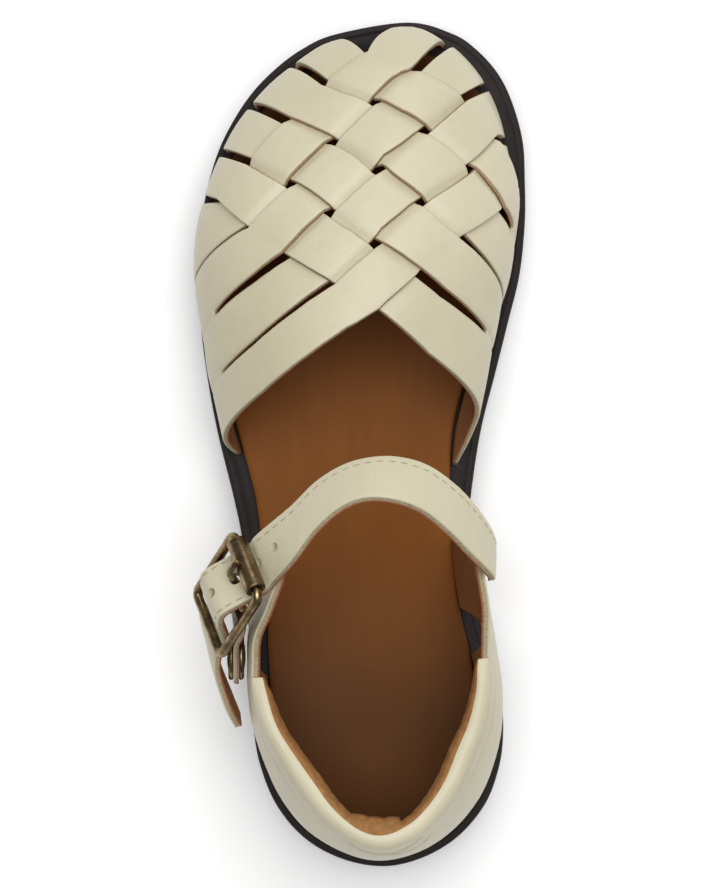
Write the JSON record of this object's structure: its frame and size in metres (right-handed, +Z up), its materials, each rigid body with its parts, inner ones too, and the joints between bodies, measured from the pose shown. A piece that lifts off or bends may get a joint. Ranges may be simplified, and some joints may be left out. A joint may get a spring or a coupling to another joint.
{
  "type": "woven sandal",
  "caption": "Child's left sandal with a closed woven leather toe, open waist, padded heel and an ankle strap on a roller buckle.",
  "frame": {"origin": "on the floor under the middle of the sandal's box", "axes": "+Y towards the toe, +X towards the medial side, +Z up"},
  "size_m": [0.0746, 0.19, 0.0698],
  "materials": {
    "outsole": "matt dark brown",
    "insole": "smooth tan",
    "vamp": "smooth cream, satin",
    "quarter": "smooth cream, satin",
    "collar": "soft padded cream",
    "strap": "smooth cream, satin",
    "buckle": "antique, dark in the hollows",
    "stud": "dark bronze"
  },
  "bodies": {
    "root": {"outsole": "outsole", "insole": "insole", "vamp": "vamp", "quarter": "quarter", "collar": "collar", "ankle_strap": "strap", "buckle_chape": "strap", "buckle_frame": "buckle", "buckle_roller": "buckle", "buckle_prong": "buckle", "press_stud_cap": "stud", "press_stud_socket": "stud"}
  },
  "joints": []
}
